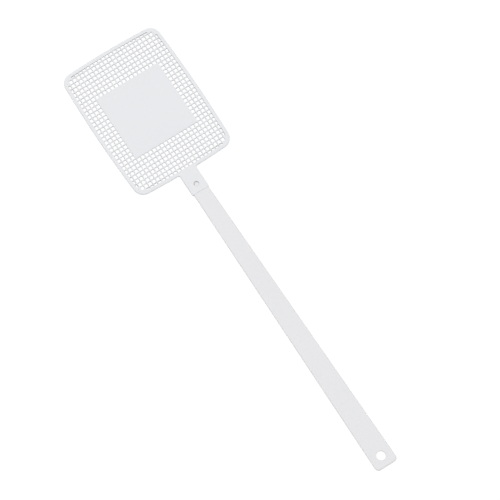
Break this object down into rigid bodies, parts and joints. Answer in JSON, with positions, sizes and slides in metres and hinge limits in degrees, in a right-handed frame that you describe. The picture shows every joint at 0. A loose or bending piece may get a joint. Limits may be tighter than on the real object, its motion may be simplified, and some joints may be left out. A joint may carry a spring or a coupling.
{
  "type": "fly swatter",
  "caption": "Flat moulded fly swatter: a square-holed mesh head with a plain panel, snapped by its socket onto a long tapered handle with a round hanging hole.",
  "frame": {"origin": "under the middle of the swatter's length and width, level with the back of the socket, which it lies on", "axes": "+Y along the handle from the hanging hole to the far end of the head, +Z out of the front face, +X across the head"},
  "size_m": [0.1014, 0.4462, 0.0036],
  "materials": {
    "head_plastic": "white polypropylene, fine satin mould texture",
    "handle_plastic": "white polypropylene, smooth satin"
  },
  "bodies": {
    "handle": {"handle_strip": "handle_plastic", "handle_tongue": "handle_plastic", "hanging_end": "handle_plastic"},
    "head": {"head_rim": "head_plastic", "mesh_grid": "head_plastic", "print_panel": "head_plastic", "neck_socket": "head_plastic"},
    "snap_finger": {"snap_finger": "handle_plastic"}
  },
  "joints": [
    {"name": "head_slide", "type": "slide", "parent": "handle", "child": "head", "axis": [0, 1, 0], "range_m": [0, 0.03], "deforming": ["snap_finger"]},
    {"name": "snap_press", "type": "hinge", "parent": "handle", "child": "snap_finger", "pos_m": [0, 0.08285, 0.00225], "axis": [1, 0, 0], "range_deg": [0, 6], "stiffness_Nm_per_rad": 0.08}
  ]
}
